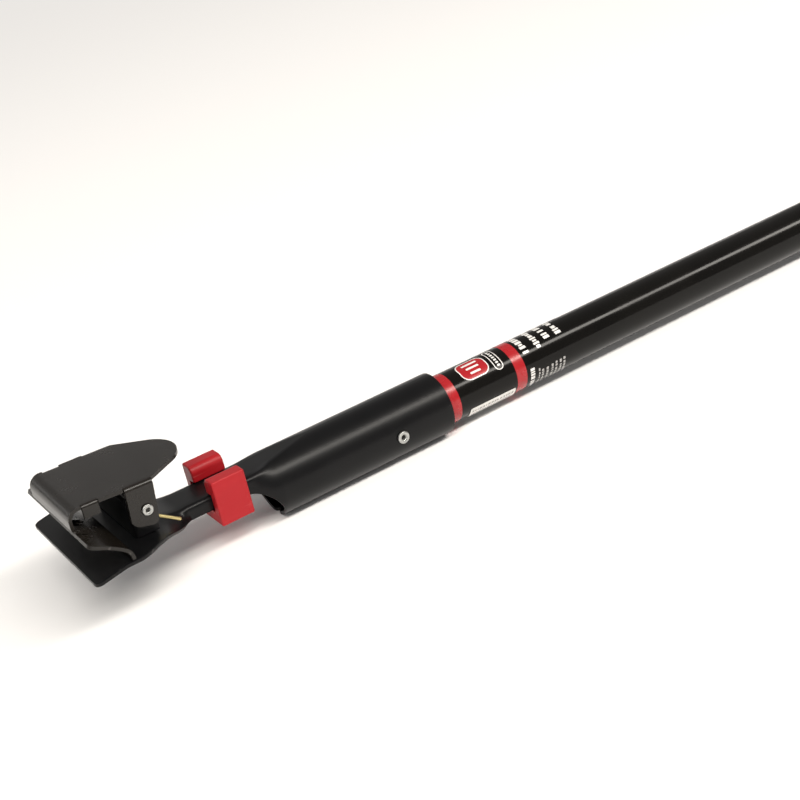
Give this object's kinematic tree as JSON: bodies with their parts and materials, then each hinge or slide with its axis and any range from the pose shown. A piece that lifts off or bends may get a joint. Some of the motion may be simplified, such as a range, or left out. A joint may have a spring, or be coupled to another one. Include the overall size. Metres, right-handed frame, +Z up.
{
  "type": "dust mop handle",
  "caption": "Long tube handle whose stamped head has a sprung clip lever over a flat base plate, a sliding lock and a hang-up cap.",
  "frame": {"origin": "top face of the base plate, midway along the wire pocket and midway across the plate", "axes": "+X along the handle towards the hang-up cap, +Z up from the base plate through the clip lever, +Y completes the right-handed set"},
  "size_m": [1.524, 0.0776, 0.0585],
  "materials": {
    "frame_enamel": "satin black enamel",
    "lever_enamel": "glossy black enamel",
    "rivet_steel": "bright zinc",
    "spring_wire": "yellow passivated wire",
    "lock_plastic": "red, slightly glossy",
    "bushing_plastic": "plain",
    "tube_metal": "plain",
    "vinyl": "glossy black vinyl",
    "label_film": "glossy black film with red end bands",
    "sticker_paper": "white paper",
    "cap_plastic": "plain black"
  },
  "bodies": {
    "base": {"socket_frame": "frame_enamel", "hinge_bracket": "frame_enamel", "bracket_rivet_near": "rivet_steel", "bracket_rivet_far": "rivet_steel", "pivot_pin": "rivet_steel", "spring_coil_near": "spring_wire", "spring_coil_far": "spring_wire", "adapter_bushing": "bushing_plastic", "tube_core": "tube_metal", "vinyl_cover": "vinyl", "label_wrap": "label_film", "paper_sticker": "sticker_paper", "socket_rivet": "rivet_steel", "hanger_cap": "cap_plastic"},
    "lever": {"clip_lever": "lever_enamel", "jaw_plate": "lever_enamel", "jaw_rivet_near": "lever_enamel", "jaw_rivet_far": "lever_enamel", "spring_loop": "spring_wire"},
    "lock": {"lock_slider": "lock_plastic"}
  },
  "joints": [
    {"name": "lever_hinge", "type": "hinge", "parent": "base", "child": "lever", "pos_m": [0.0107, 0, 0.0124], "axis": [0, 1, 0], "range_deg": [0, 30], "stiffness_Nm_per_rad": 0.8, "springref_deg": -22.92},
    {"name": "lock_slide", "type": "slide", "parent": "base", "child": "lock", "axis": [-1, 0, 0], "range_m": [0, 0.008]}
  ]
}
